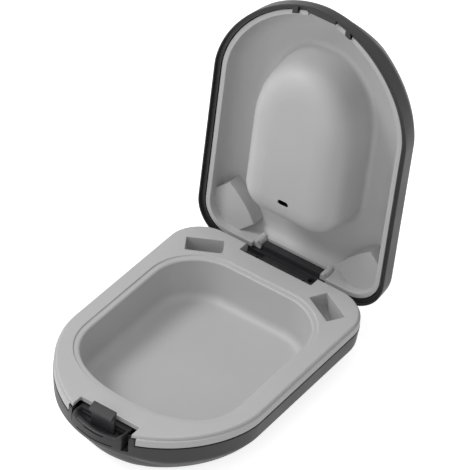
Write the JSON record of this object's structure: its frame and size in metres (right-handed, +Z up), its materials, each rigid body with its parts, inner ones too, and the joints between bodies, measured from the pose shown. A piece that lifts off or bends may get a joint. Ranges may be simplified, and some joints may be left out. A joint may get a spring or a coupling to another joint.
{
  "type": "hearing aid case",
  "caption": "Pocket case for hearing aids, shown open: charcoal shells, pale grey trays, press latch in front and a hinged lid behind",
  "frame": {"origin": "middle of the flat underside of the bottom shell", "axes": "+Z up from the underside; -Y front, with the latch button; +Y back, with the hinge; +X right, seen from the front"},
  "size_m": [0.0722, 0.1205, 0.1141],
  "materials": {
    "charcoal_abs": "moulded charcoal ABS, fine satin grain",
    "light_grey_abs": "moulded light grey ABS, fine matt grain",
    "spring_steel": "drawn stainless wire"
  },
  "bodies": {
    "base": {"base_shell": "charcoal_abs", "base_liner": "light_grey_abs", "latch_spring_left": "spring_steel", "latch_spring_right": "spring_steel", "hinge_pin": "spring_steel"},
    "lid": {"lid_shell": "charcoal_abs", "lid_liner": "light_grey_abs"},
    "latch": {"latch_button": "charcoal_abs"}
  },
  "joints": [
    {"name": "lid_hinge", "type": "hinge", "parent": "base", "child": "lid", "pos_m": [0, 0.0493, 0.0139], "axis": [1, 0, 0], "range_deg": [0, 92]},
    {"name": "latch_press", "type": "slide", "parent": "base", "child": "latch", "axis": [0, 1, 0], "range_m": [0, 0.0012], "stiffness_N_per_m": 400, "springref_m": -0.0004, "deforming": ["latch_spring_left", "latch_spring_right"]}
  ]
}
